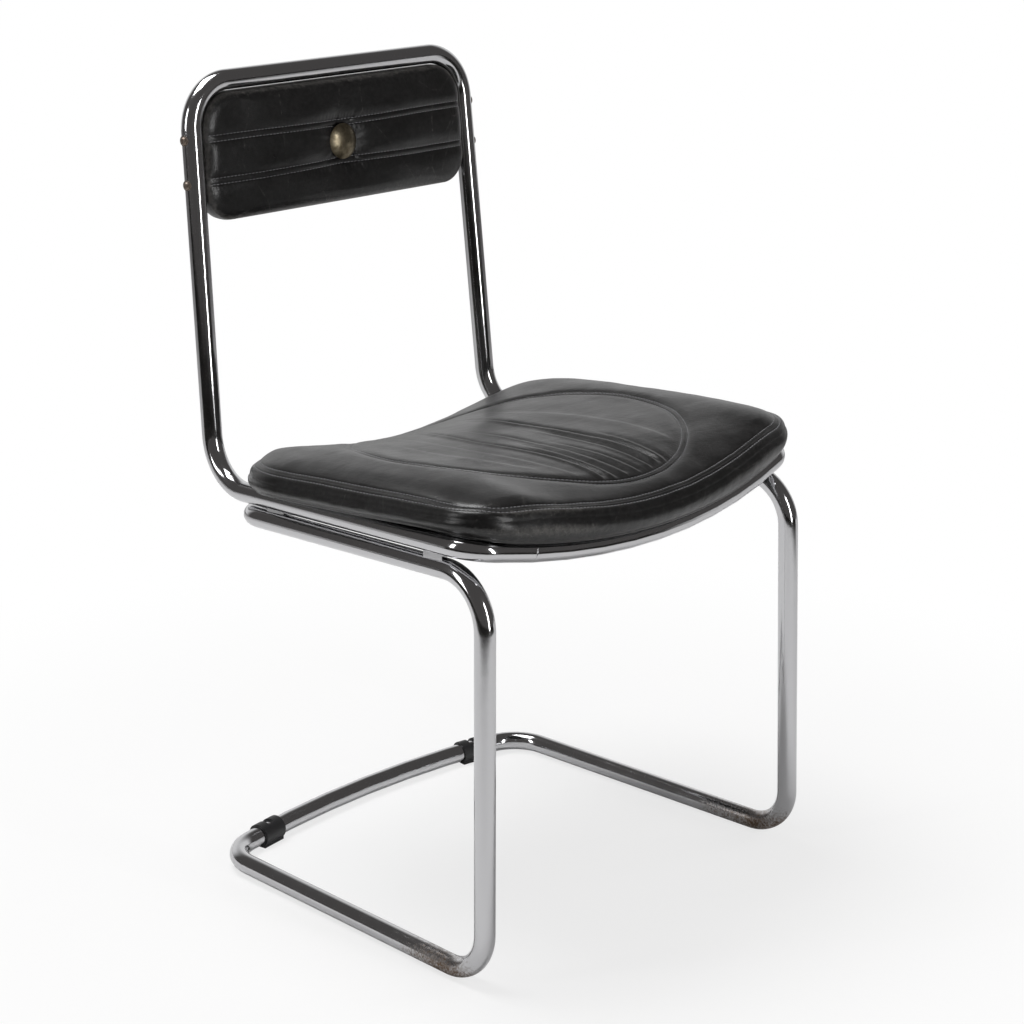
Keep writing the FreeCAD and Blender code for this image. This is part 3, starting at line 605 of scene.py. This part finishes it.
def back_cushion():
    """Closed form on rays from the button's middle: over the crowned face, round the edge and over the flat
    rear cover back to the middle."""
    n = 760
    s = np.concatenate([[0], np.cumsum(np.hypot(*(np.roll(PAD_EDGE, -1, 0) - PAD_EDGE)[:, :2].T))])
    run = np.vstack([PAD_EDGE, PAD_EDGE[:1]])
    at = np.arange(n) * s[-1] / n
    rim = np.stack([np.interp(at, s, run[:, 0]), np.interp(at, s, run[:, 1])], -1)
    step = np.roll(rim, -1, 0) - np.roll(rim, 1, 0)
    out = np.stack([step[:, 1], -step[:, 0]], -1)
    out /= np.linalg.norm(out, axis=1)[:, None]
    ray = rim - PAD_HEART
    length = np.linalg.norm(ray, axis=1)[:, None]
    square = np.abs((out * ray).sum(1))[:, None] / length
    last = 0.14
    part = np.concatenate([np.linspace(0, 1 - last, 96),
                           1 - last * (1 - np.sin(np.linspace(0, TAU / 4, 26)))[1:]])
    x = PAD_HEART[0] + ray[:, :1] * part
    z = PAD_HEART[1] + ray[:, 1:] * part
    edge = length * (1 - part) * square
    front = back_space(x, -pad_front(x, z, edge), z)

    rx, rz = rim[:, :1], rim[:, 1:]
    q = np.linspace(0, 1, 9)[None, 1:]
    flat_rear = PAD_REAR - PAD_REAR_ROLL
    bulge = 0.6 * np.sin(math.pi * q)
    side = back_space(rx + out[:, :1] * bulge, -PAD_LIP + (flat_rear + PAD_LIP) * q, rz + out[:, 1:] * bulge)
    turn = np.linspace(0, TAU / 4, 7)[None, 1:]
    tuck = PAD_REAR_ROLL * (1 - np.cos(turn))
    corner = back_space(rx - out[:, :1] * tuck, flat_rear + PAD_REAR_ROLL * np.sin(turn),
                        rz - out[:, 1:] * tuck)
    back_part = np.concatenate([np.linspace(0.965, 0.5, 12), [0.25, 0.05, 0.0]])[None, :]
    bx, bz = PAD_HEART[0] + ray[:, :1] * back_part, PAD_HEART[1] + ray[:, 1:] * back_part
    rear = back_space(bx, PAD_REAR + 0 * bx, bz)
    rub = np.concatenate([np.clip(0.9 * dip(edge, 7.0), 0, 1), np.full((n, q.shape[1] + turn.shape[1]), 0.5),
                          np.full(bx.shape, 0.15)], 1)
    return grid_piece("back_cushion", np.concatenate([front, side, corner, rear], 1), flip=True,
                      attributes=[("rub", rub)], weld=WELD)


def pad_seam_rows():
    forward = back_space(0, -1.0, 0) - back_space(0, 0, 0)
    x = np.linspace(-171.5, 171.5, 1500)
    edge = np.maximum(PAD_HALF_LOW - 1.5 - np.abs(x), 0)
    for upper in (True, False):
        for shift in (-SEAM_HALF, SEAM_HALF):
            s = pad_seam(x, upper) + shift
            p = back_space(x, -pad_front(x, s, edge) - THREAD_LIFT, s)
            clear = np.hypot(x, s - TUFT_S) > BUTTON_R + 0.8
            for side in (-1, 1):
                yield seam_row(p[clear & (np.sign(x) == side)], forward, closed=False)


# Materials
def linear(code):
    """sRGB hex to linear, with alpha."""
    c = np.array([int(code[k:k + 2], 16) for k in (1, 3, 5)]) / 255
    c = np.where(c <= 0.04045, c / 12.92, ((c + 0.055) / 1.055) ** 2.4)
    return (*c.tolist(), 1.0)


FACTOR, FIRST, SECOND, MIXED = 0, 6, 7, 2      # a colour mix node's sockets, by number


def feed(tree, node, sockets):
    """Links or sets a node's inputs: each name or number goes with a socket or a value."""
    for key, value in sockets.items():
        if isinstance(value, bpy.types.NodeSocket):
            tree.links.new(value, node.inputs[key])
        else:
            node.inputs[key].default_value = value


def add(tree, kind, sockets=(), **settings):
    """Adds a node with its own settings and feeds its inputs."""
    made = tree.nodes.new(kind)
    for key, value in settings.items():
        setattr(made, key, value)
    feed(tree, made, dict(sockets))
    return made


def remap(tree, value, source, target=(0.0, 1.0), kind="LINEAR"):
    """The value carried from one range to another and held at its ends."""
    return add(tree, "ShaderNodeMapRange", {
        "Value": value, "From Min": source[0], "From Max": source[1], "To Min": target[0],
        "To Max": target[1]}, interpolation_type=kind).outputs["Result"]


def material(name):
    made = bpy.data.materials.new(name)
    made.use_nodes = True
    tree = made.node_tree
    shader = tree.nodes["Principled BSDF"]
    where = add(tree, "ShaderNodeTexCoord").outputs["Object"]
    return made, tree, shader, where


def chromed_steel():
    """Nickel-chrome plate on drawn steel tube: a mirror with a faint haze, and a brown bloom with pin-point
    rust where the front of the floor runs wore."""
    made, tree, shader, where = material("chromed_steel_tube")
    at = add(tree, "ShaderNodeSeparateXYZ", {"Vector": where})
    low = remap(tree, at.outputs["Z"], (0.05, 0.012))
    ahead = remap(tree, at.outputs["Y"], (-0.06, -0.16))
    patch = add(tree, "ShaderNodeTexNoise", {"Vector": where, "Scale": 16.0, "Detail": 4.0})
    speck = add(tree, "ShaderNodeTexNoise", {"Vector": where, "Scale": 380.0, "Detail": 6.0, "Roughness": 0.75})
    zone = add(tree, "ShaderNodeMath", {0: low, 1: ahead}, operation="MULTIPLY")
    total = add(tree, "ShaderNodeMath", {0: zone.outputs[0], 1: patch.outputs["Fac"], 2: speck.outputs["Fac"]},
                operation="MULTIPLY_ADD")
    rust = remap(tree, total.outputs[0], (0.72, 1.08))
    colour = add(tree, "ShaderNodeMix", {FACTOR: rust, FIRST: linear("#c6c6c8"), SECOND: linear("#62503f")},
                 data_type="RGBA")
    haze = add(tree, "ShaderNodeTexNoise", {"Vector": where, "Scale": 55.0, "Detail": 8.0, "Roughness": 0.7})
    rough = remap(tree, haze.outputs["Fac"], (0.3, 0.75), (0.07, 0.17))
    worn = add(tree, "ShaderNodeMath", {0: rust, 1: 0.35, 2: rough}, operation="MULTIPLY_ADD")
    bump = add(tree, "ShaderNodeBump", {"Height": total.outputs[0], "Strength": 0.03, "Distance": 0.0005})
    feed(tree, shader, {"Base Color": colour.outputs[MIXED], "Metallic": 1.0, "Roughness": worn.outputs[0],
                        "Normal": bump.outputs["Normal"]})
    return made


def black_leather():
    """Upholstery leather, dyed black and waxed: fine pebbled grain of about 1 mm, a soft broad gloss, hair
    cracks and scratches, and grey rubbed places where the cover is bent over its edges."""
    made, tree, shader, where = material("black_waxed_leather")
    rub = add(tree, "ShaderNodeAttribute", attribute_name="rub").outputs["Fac"]
    grain = add(tree, "ShaderNodeTexVoronoi", {"Vector": where, "Scale": 780.0})
    pores = add(tree, "ShaderNodeTexNoise", {"Vector": where, "Scale": 240.0, "Detail": 6.0, "Roughness": 0.65})
    broad = add(tree, "ShaderNodeTexNoise", {"Vector": where, "Scale": 24.0, "Detail": 4.0, "Roughness": 0.6})
    scuff = add(tree, "ShaderNodeTexNoise", {"Vector": where, "Scale": 210.0, "Detail": 8.0, "Roughness": 0.75})

    # Rubbed places, long nail scratches and hair cracks, added up
    wear = add(tree, "ShaderNodeMath", {0: rub, 1: scuff.outputs["Fac"]}, operation="MULTIPLY")
    worn = remap(tree, wear.outputs[0], (0.27, 0.62))
    nail = add(tree, "ShaderNodeTexVoronoi", {"Vector": where, "Scale": 11.0}, feature="DISTANCE_TO_EDGE")
    trace = remap(tree, nail.outputs["Distance"], (0.0, 0.007), (0.5, 0.0))
    gaps = remap(tree, scuff.outputs["Fac"], (0.48, 0.60))
    used = add(tree, "ShaderNodeMath", {0: trace, 1: gaps, 2: worn}, operation="MULTIPLY_ADD")
    hair = add(tree, "ShaderNodeTexVoronoi", {"Vector": where, "Scale": 120.0}, feature="DISTANCE_TO_EDGE")
    line = remap(tree, hair.outputs["Distance"], (0.0, 0.035), (1.0, 0.0))
    some = remap(tree, pores.outputs["Fac"], (0.50, 0.66))
    crack = add(tree, "ShaderNodeMath", {0: line, 1: some}, operation="MULTIPLY")
    bent = add(tree, "ShaderNodeMath", {0: crack.outputs[0], 1: rub}, operation="MULTIPLY")
    grey = add(tree, "ShaderNodeMath", {0: bent.outputs[0], 1: used.outputs[0]}, operation="ADD",
               use_clamp=True).outputs[0]

    tone = add(tree, "ShaderNodeMix", {
        FACTOR: remap(tree, pores.outputs["Fac"], (0.35, 0.70)), FIRST: linear("#080808"),
        SECOND: linear("#1d1c1c")}, data_type="RGBA")
    colour = add(tree, "ShaderNodeMix", {
        FACTOR: grey, FIRST: tone.outputs[MIXED], SECOND: linear("#5a5855")}, data_type="RGBA")
    gloss = remap(tree, broad.outputs["Fac"], (0.25, 0.75), (0.27, 0.37))
    rough = add(tree, "ShaderNodeMath", {0: grey, 1: 0.25, 2: gloss}, operation="MULTIPLY_ADD")
    height = add(tree, "ShaderNodeMath", {0: grain.outputs["Distance"], 1: 0.5, 2: pores.outputs["Fac"]},
                 operation="MULTIPLY_ADD")
    cut = add(tree, "ShaderNodeMath", {0: bent.outputs[0], 1: -0.6, 2: height.outputs[0]},
              operation="MULTIPLY_ADD")
    bump = add(tree, "ShaderNodeBump", {"Height": cut.outputs[0], "Strength": 0.5, "Distance": 0.0004})
    feed(tree, shader, {"Base Color": colour.outputs[MIXED], "Roughness": rough.outputs[0],
                        "Normal": bump.outputs["Normal"]})
    return made


def plain_surface(name, colour, other, roughness, metallic, scale, bump_mm):
    """A surface whose colour and roughness wander between two values, with scale spots a metre."""
    made, tree, shader, where = material(name)
    noise = add(tree, "ShaderNodeTexNoise", {"Vector": where, "Scale": scale, "Detail": 6.0, "Roughness": 0.65})
    mix = add(tree, "ShaderNodeMix", {
        FACTOR: remap(tree, noise.outputs["Fac"], (0.35, 0.65)), FIRST: linear(colour),
        SECOND: linear(other)}, data_type="RGBA")
    bump = add(tree, "ShaderNodeBump", {"Height": noise.outputs["Fac"], "Strength": 0.3,
                                        "Distance": bump_mm * MM})
    feed(tree, shader, {"Base Color": mix.outputs[MIXED], "Metallic": metallic,
                        "Roughness": remap(tree, noise.outputs["Fac"], (0.3, 0.7), roughness),
                        "Normal": bump.outputs["Normal"]})
    return made


CHROME = chromed_steel()
LEATHER = black_leather()
# Bonded polyester thread, waxed and gone grey
THREAD = plain_surface("waxed_grey_thread", "#77777a", "#919194", (0.5, 0.7), 0.0, 2500.0, 0.05)
# Pressed brass cap with brown tarnish
BRASS = plain_surface("tarnished_brass_cap", "#8d8470", "#5d5443", (0.25, 0.45), 1.0, 130.0, 0.03)
# Turned steel screws whose plate has rusted
RUSTY = plain_surface("rusted_screw_steel", "#6f5d50", "#8a837c", (0.35, 0.6), 0.9, 900.0, 0.08)
# Zinc plate on steel fixings, dull and even
ZINC = plain_surface("zinc_plated_steel", "#a7a7a5", "#8b8d8f", (0.3, 0.45), 1.0, 300.0, 0.02)
# Injection-moulded nylon, slightly glossy
NYLON = plain_surface("moulded_black_nylon", "#141415", "#1d1d1e", (0.42, 0.55), 0.0, 500.0, 0.05)
# Bent beech plywood under a dark stain
PLY = plain_surface("stained_moulded_plywood", "#5a4632", "#46372a", (0.55, 0.7), 0.0, 60.0, 0.1)
# Plain-woven black lining
CLOTH = plain_surface("woven_lining_cloth", "#161616", "#232323", (0.8, 0.95), 0.0, 1500.0, 0.15)

NODE_FINISH = {
    "seat_frame_plug": ZINC, "base_frame_plug": ZINC, "rail_welds": CHROME, "seat_tabs": CHROME,
    "seat_screws": ZINC, "seat_nuts": ZINC, "seat_pan": PLY, "back_board": PLY, "back_button": BRASS,
    "button_shank": ZINC, "button_washer": ZINC, "button_nut": ZINC, "back_screws": RUSTY,
    "back_screw_cups": RUSTY, "board_inserts": BRASS, "floor_glides": NYLON}
for name, finish in NODE_FINISH.items():
    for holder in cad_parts[name].material_slots:
        holder.material = finish

# The pieces
finish_piece(loop_tube("seat_back_tube", *SEAT_LOOP, np.array([FRONT_JOINT_X, 8.0, 411.0])), CHROME,
             "chromed_tube", "seat_back_frame")
finish_piece(loop_tube("base_tube", *BASE_LOOP, np.array([0, 358.0, 364.6])), CHROME, "chromed_tube",
             "base_frame")
seat = finish_piece(seat_cushion(), LEATHER, "leather", "seat_boxing", "seat_top_border", "seat_round_panel",
                    "seat_foam")
lining = finish_piece(seat_lining(), CLOTH, "cloth", "seat_under_cloth")
finish_piece(stitches("seat_round_seam_thread", round_seam_rows()), THREAD, "leather")
finish_piece(stitches("seat_edge_seam_thread", edge_seam_rows()), THREAD, "leather")
back = finish_piece(back_cushion(), LEATHER, "leather", "back_panel_top", "back_panel_middle",
                    "back_panel_low", "back_rear_cover", "back_foam")
finish_piece(stitches("back_seam_thread", pad_seam_rows()), THREAD, "leather")

# Floor: white paper round the chair and toward the backdrop, a dark studio floor on the camera's side
FLOOR = 6.0
FRONT_PAPER, PAPER_FADE = 1.25, 0.25
BACKDROP = Vector((0.69, 0.72, 0))     # from the chair to the white backdrop
floor_mesh = bpy.data.meshes.new("floor")
floor_mesh.from_pydata([(-FLOOR, -FLOOR, 0), (FLOOR, -FLOOR, 0), (FLOOR, FLOOR, 0), (-FLOOR, FLOOR, 0)], [],
                       [(0, 1, 2, 3)])
floor = bpy.data.objects.new("floor", floor_mesh)
bpy.context.scene.collection.objects.link(floor)


def toward_backdrop(tree, vector):
    """How far a vector points toward the backdrop."""
    return add(tree, "ShaderNodeVectorMath", {0: vector, 1: BACKDROP}, operation="DOT_PRODUCT").outputs["Value"]


white, tree, shader, where = material("white_paper_floor")
floor_mesh.materials.append(white)
away = add(tree, "ShaderNodeVectorMath", {0: where}, operation="LENGTH").outputs["Value"]
near = remap(tree, away, (FRONT_PAPER + PAPER_FADE, FRONT_PAPER), kind="SMOOTHSTEP")
behind = remap(tree, toward_backdrop(tree, where), (-0.2, 0.3), kind="SMOOTHSTEP")
paper = add(tree, "ShaderNodeMath", {0: near, 1: behind}, operation="MAXIMUM")
tone = add(tree, "ShaderNodeMix", {FACTOR: paper.outputs[0], FIRST: linear("#2b2926"),
                                   SECOND: linear("#f2f2f2")}, data_type="RGBA")
feed(tree, shader, {"Base Color": tone.outputs[MIXED], "Roughness": 0.9, "Specular IOR Level": 0.1})
far = remap(tree, remap(tree, away, (0.30, 1.0), kind="SMOOTHSTEP"), (0.0, 1.0), (0.72, 1.0))
sees = add(tree, "ShaderNodeLightPath").outputs["Is Camera Ray"]
share = add(tree, "ShaderNodeMath", {0: far, 1: sees}, operation="MULTIPLY")
glow = add(tree, "ShaderNodeEmission", {"Strength": 1.0})
blend = add(tree, "ShaderNodeMixShader", {0: share.outputs[0], 1: shader.outputs[0], 2: glow.outputs[0]})
feed(tree, tree.nodes["Material Output"], {"Surface": blend.outputs[0]})

# World: white to the camera; to the rest a white backdrop behind the chair in a dim room
world = bpy.data.worlds.new("studio")
bpy.context.scene.world = world
world.use_nodes = True
tree = world.node_tree
room = tree.nodes["Background"]
way = add(tree, "ShaderNodeTexCoord").outputs["Generated"]
height = add(tree, "ShaderNodeSeparateXYZ", {"Vector": way}).outputs["Z"]
ahead = remap(tree, toward_backdrop(tree, way), (0.45, 0.8), kind="SMOOTHSTEP")
low = remap(tree, height, (0.70, 0.35), kind="SMOOTHSTEP")
drop = add(tree, "ShaderNodeMath", {0: ahead, 1: low}, operation="MULTIPLY")
tone = add(tree, "ShaderNodeMix", {FACTOR: drop.outputs[0], FIRST: linear("#555352"),
                                   SECOND: linear("#f0f0f0")}, data_type="RGBA")
feed(tree, room, {"Color": tone.outputs[MIXED]})
white_back = add(tree, "ShaderNodeBackground", {"Color": (1, 1, 1, 1), "Strength": 1.0})
sees = add(tree, "ShaderNodeLightPath").outputs["Is Camera Ray"]
pick = add(tree, "ShaderNodeMixShader", {0: sees, 1: room.outputs[0], 2: white_back.outputs[0]})
feed(tree, tree.nodes["World Output"], {"Surface": pick.outputs[0]})


def softbox(name, at, size, power, aim=(0, 0, 0.45)):
    lamp = bpy.data.lights.new(name, "AREA")
    lamp.shape, lamp.size, lamp.size_y, lamp.energy = "RECTANGLE", size[0], size[1], power
    holder = bpy.data.objects.new(name, lamp)
    holder.location = at
    holder.rotation_euler = (Vector(aim) - Vector(at)).to_track_quat("-Z", "Y").to_euler()
    holder.visible_camera = False
    bpy.context.scene.collection.objects.link(holder)
    return holder


softbox("top_light", (-0.3, 0.6, 2.6), (1.3, 1.3), 48)
softbox("front_strip", (0.0, -2.75, 1.05), (0.34, 2.0), 28)
matt_fill = softbox("right_light", (2.5, -1.7, 1.3), (1.3, 2.2), 20)
matt_fill.visible_glossy = False
softbox("left_light", (-2.6, 1.0, 1.5), (0.6, 1.6), 16)

# Camera at the photograph's viewing angle
camera = bpy.data.cameras.new("camera")
FOCAL_PIXELS, PICTURE_PIXELS = 2488.34, 1024
camera.sensor_width = 36.0
camera.lens = FOCAL_PIXELS / PICTURE_PIXELS * camera.sensor_width
eye = bpy.data.objects.new("camera", camera)
eye.location = place([-1714.2, -1446.3, 1112.5])
eye.rotation_euler = (math.radians(90 - 17.338), 0, math.radians(-46.466))
bpy.context.scene.collection.objects.link(eye)
bpy.context.scene.camera = eye
bpy.context.scene.view_settings.view_transform = "Standard"
